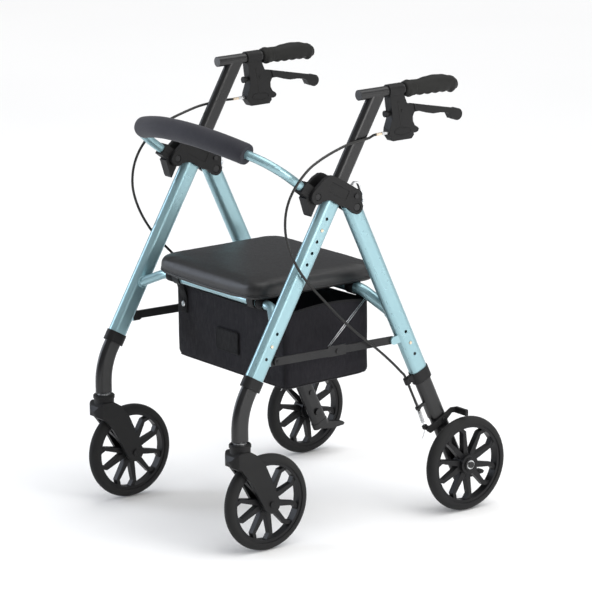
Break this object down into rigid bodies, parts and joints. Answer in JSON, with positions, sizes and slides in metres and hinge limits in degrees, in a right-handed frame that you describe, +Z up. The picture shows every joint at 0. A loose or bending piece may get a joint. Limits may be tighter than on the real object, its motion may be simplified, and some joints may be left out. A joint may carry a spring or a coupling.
{
  "type": "rollator walker",
  "caption": "Folding rollator walker with padded flip-up seat, storage bag, bowed padded backrest, cable hand brakes, swivelling front wheels, and height-adjustable handles and legs.",
  "frame": {"origin": "on the floor, in the middle of the four wheels' outer box", "axes": "+Z up, -Y forward (casters and backrest), +X to the walker's left side as seen by the person pushing it backwards, that is the right side of a viewer in front"},
  "size_m": [0.6066, 0.699, 0.9356],
  "materials": {
    "anodised": "satin light teal anodising",
    "black_tube": "satin black powder coat",
    "moulding": "fine-grained black moulding",
    "rim": "satin black nylon",
    "tyre": "matt black",
    "rubber_grip": "matt black",
    "foam": "closed-cell foam, matt",
    "vinyl": "vinyl-coated fabric over foam, fine grain",
    "bag_fabric": "woven nylon",
    "webbing": "woven webbing",
    "cable": "plastic cable jacket",
    "dark_steel": "dark zinc",
    "bright_steel": "bright zinc",
    "brass": "satin"
  },
  "bodies": {
    "frame": {"front_leg_left": "anodised", "front_leg_right": "anodised", "front_cross_tube": "anodised", "hub_outer_left": "moulding", "hub_outer_right": "moulding", "hub_inner_left": "moulding", "hub_inner_right": "moulding", "hub_bolts": "dark_steel", "hub_springs": "bright_steel", "front_collars": "moulding", "bag": "bag_fabric", "bag_straps": "webbing", "brake_cable_left": "cable", "brake_cable_right": "cable"},
    "backrest": {"backrest_tube": "anodised", "backrest_foam": "foam", "backrest_sockets": "moulding"},
    "seat": {"seat_cushion": "vinyl", "seat_board": "moulding", "seat_clips": "moulding"},
    "rear_frame": {"rear_leg_left": "anodised", "rear_leg_right": "anodised", "rear_cross_tube": "anodised", "rear_collars": "moulding", "knee_wires": "bright_steel"},
    "handle_left": {"handle_left": "black_tube", "grip_left": "rubber_grip", "brake_housing_left": "moulding"},
    "lever_left": {"brake_lever_left": "moulding"},
    "handle_button_left": {"handle_button_left": "brass"},
    "front_lower_left": {"front_lower_leg_left": "black_tube"},
    "front_leg_button_left": {"front_leg_button_left": "brass"},
    "caster_left": {"caster_fork_left": "moulding"},
    "front_wheel_left": {"front_tyre_left": "tyre", "front_rim_left": "rim"},
    "rear_lower_left": {"rear_lower_leg_left": "black_tube"},
    "rear_leg_button_left": {"rear_leg_button_left": "brass"},
    "rear_wheel_left": {"rear_tyre_left": "tyre", "rear_rim_left": "rim"},
    "brake_arm_left": {"brake_arm_left": "moulding"},
    "strut_front_left": {"strut_front_left": "dark_steel"},
    "strut_rear_left": {"strut_rear_left": "dark_steel"},
    "handle_right": {"handle_right": "black_tube", "grip_right": "rubber_grip", "brake_housing_right": "moulding"},
    "lever_right": {"brake_lever_right": "moulding"},
    "handle_button_right": {"handle_button_right": "brass"},
    "front_lower_right": {"front_lower_leg_right": "black_tube"},
    "front_leg_button_right": {"front_leg_button_right": "brass"},
    "caster_right": {"caster_fork_right": "moulding"},
    "front_wheel_right": {"front_tyre_right": "tyre", "front_rim_right": "rim"},
    "rear_lower_right": {"rear_lower_leg_right": "black_tube"},
    "rear_leg_button_right": {"rear_leg_button_right": "brass"},
    "rear_wheel_right": {"rear_tyre_right": "tyre", "rear_rim_right": "rim"},
    "brake_arm_right": {"brake_arm_right": "moulding"},
    "strut_front_right": {"strut_front_right": "dark_steel"},
    "strut_rear_right": {"strut_rear_right": "dark_steel"}
  },
  "joints": [
    {"name": "fold", "type": "hinge", "parent": "frame", "child": "rear_frame", "pos_m": [0, -0.022, 0.689], "axis": [-1, 0, 0], "range_deg": [0, 32], "deforming": ["bag_straps", "knee_wires"]},
    {"name": "seat_flip", "type": "hinge", "parent": "frame", "child": "seat", "pos_m": [0, -0.185, 0.491], "axis": [1, 0, 0], "range_deg": [0, 80]},
    {"name": "backrest_flip", "type": "hinge", "parent": "frame", "child": "backrest", "pos_m": [0, -0.121, 0.724], "axis": [-1, 0, 0], "range_deg": [0, 75]},
    {"name": "strut_front_pivot_left", "type": "hinge", "parent": "frame", "child": "strut_front_left", "pos_m": [0.247, -0.218, 0.394], "axis": [1, 0, 0], "range_deg": [0, 58.22]},
    {"name": "strut_rear_pivot_left", "type": "hinge", "parent": "rear_frame", "child": "strut_rear_left", "pos_m": [0.247, 0.082, 0.389], "axis": [-1, 0, 0], "range_deg": [0, 40.87]},
    {"name": "handle_height_left", "type": "slide", "parent": "frame", "child": "handle_left", "axis": [0, 0.503, 0.8643], "range_m": [-0.1016, 0.0254], "deforming": ["handle_button_left", "brake_cable_left"]},
    {"name": "handle_button_press_left", "type": "slide", "parent": "handle_left", "child": "handle_button_left", "axis": [-1, 0, 0], "range_m": [0, 0.0042], "stiffness_N_per_m": 400, "springref_m": -0.002},
    {"name": "brake_lever_pull_left", "type": "hinge", "parent": "handle_left", "child": "lever_left", "pos_m": [0.247, 0.104, 0.872], "axis": [1, 0, 0], "range_deg": [0, 12], "stiffness_Nm_per_rad": 2, "springref_deg": -17.19},
    {"name": "front_leg_height_left", "type": "slide", "parent": "frame", "child": "front_lower_left", "axis": [0, 0.503, 0.8643], "range_m": [-0.028, 0.028], "deforming": ["front_leg_button_left"]},
    {"name": "front_leg_button_press_left", "type": "slide", "parent": "front_lower_left", "child": "front_leg_button_left", "axis": [-1, 0, 0], "range_m": [0, 0.0042], "stiffness_N_per_m": 400, "springref_m": -0.002},
    {"name": "caster_swivel_left", "type": "hinge", "parent": "front_lower_left", "child": "caster_left", "pos_m": [0.247, -0.31, 0.236], "axis": [0, 0, 1], "continuous": true},
    {"name": "front_wheel_spin_left", "type": "hinge", "parent": "caster_left", "child": "front_wheel_left", "pos_m": [0.247, -0.248, 0.1015], "axis": [1, 0, 0], "continuous": true},
    {"name": "rear_leg_height_left", "type": "slide", "parent": "rear_frame", "child": "rear_lower_left", "axis": [0, -0.4176, 0.9086], "range_m": [-0.028, 0.028], "deforming": ["rear_leg_button_left"]},
    {"name": "rear_leg_button_press_left", "type": "slide", "parent": "rear_lower_left", "child": "rear_leg_button_left", "axis": [-1, 0, 0], "range_m": [0, 0.0042], "stiffness_N_per_m": 400, "springref_m": -0.002},
    {"name": "rear_wheel_spin_left", "type": "hinge", "parent": "rear_lower_left", "child": "rear_wheel_left", "pos_m": [0.282, 0.248, 0.1015], "axis": [1, 0, 0], "continuous": true},
    {"name": "brake_arm_pivot_left", "type": "hinge", "parent": "rear_lower_left", "child": "brake_arm_left", "pos_m": [0.261, 0.206, 0.199], "axis": [-1, 0, 0], "range_deg": [0, 6], "stiffness_Nm_per_rad": 2, "springref_deg": -11.46},
    {"name": "strut_front_pivot_right", "type": "hinge", "parent": "frame", "child": "strut_front_right", "pos_m": [-0.247, -0.218, 0.394], "axis": [1, 0, 0], "range_deg": [0, 58.22]},
    {"name": "strut_rear_pivot_right", "type": "hinge", "parent": "rear_frame", "child": "strut_rear_right", "pos_m": [-0.247, 0.082, 0.389], "axis": [-1, 0, 0], "range_deg": [0, 40.87]},
    {"name": "handle_height_right", "type": "slide", "parent": "frame", "child": "handle_right", "axis": [0, 0.503, 0.8643], "range_m": [-0.1016, 0.0254], "deforming": ["handle_button_right", "brake_cable_right"]},
    {"name": "handle_button_press_right", "type": "slide", "parent": "handle_right", "child": "handle_button_right", "axis": [1, 0, 0], "range_m": [0, 0.0042], "stiffness_N_per_m": 400, "springref_m": -0.002},
    {"name": "brake_lever_pull_right", "type": "hinge", "parent": "handle_right", "child": "lever_right", "pos_m": [-0.247, 0.104, 0.872], "axis": [1, 0, 0], "range_deg": [0, 12], "stiffness_Nm_per_rad": 2, "springref_deg": -17.19},
    {"name": "front_leg_height_right", "type": "slide", "parent": "frame", "child": "front_lower_right", "axis": [0, 0.503, 0.8643], "range_m": [-0.028, 0.028], "deforming": ["front_leg_button_right"]},
    {"name": "front_leg_button_press_right", "type": "slide", "parent": "front_lower_right", "child": "front_leg_button_right", "axis": [1, 0, 0], "range_m": [0, 0.0042], "stiffness_N_per_m": 400, "springref_m": -0.002},
    {"name": "caster_swivel_right", "type": "hinge", "parent": "front_lower_right", "child": "caster_right", "pos_m": [-0.247, -0.31, 0.236], "axis": [0, 0, 1], "continuous": true},
    {"name": "front_wheel_spin_right", "type": "hinge", "parent": "caster_right", "child": "front_wheel_right", "pos_m": [-0.247, -0.248, 0.1015], "axis": [1, 0, 0], "continuous": true},
    {"name": "rear_leg_height_right", "type": "slide", "parent": "rear_frame", "child": "rear_lower_right", "axis": [0, -0.4176, 0.9086], "range_m": [-0.028, 0.028], "deforming": ["rear_leg_button_right"]},
    {"name": "rear_leg_button_press_right", "type": "slide", "parent": "rear_lower_right", "child": "rear_leg_button_right", "axis": [1, 0, 0], "range_m": [0, 0.0042], "stiffness_N_per_m": 400, "springref_m": -0.002},
    {"name": "rear_wheel_spin_right", "type": "hinge", "parent": "rear_lower_right", "child": "rear_wheel_right", "pos_m": [-0.282, 0.248, 0.1015], "axis": [1, 0, 0], "continuous": true},
    {"name": "brake_arm_pivot_right", "type": "hinge", "parent": "rear_lower_right", "child": "brake_arm_right", "pos_m": [-0.261, 0.206, 0.199], "axis": [-1, 0, 0], "range_deg": [0, 6], "stiffness_Nm_per_rad": 2, "springref_deg": -11.46}
  ],
  "couplings": [
    {"joint": "strut_front_pivot_left", "follows": "fold", "ratio": 1.8133},
    {"joint": "strut_rear_pivot_left", "follows": "fold", "ratio": 1.2708},
    {"joint": "brake_arm_pivot_left", "follows": "brake_lever_pull_left", "ratio": 0.5},
    {"joint": "strut_front_pivot_right", "follows": "fold", "ratio": 1.8133},
    {"joint": "strut_rear_pivot_right", "follows": "fold", "ratio": 1.2708},
    {"joint": "brake_arm_pivot_right", "follows": "brake_lever_pull_right", "ratio": 0.5}
  ]
}
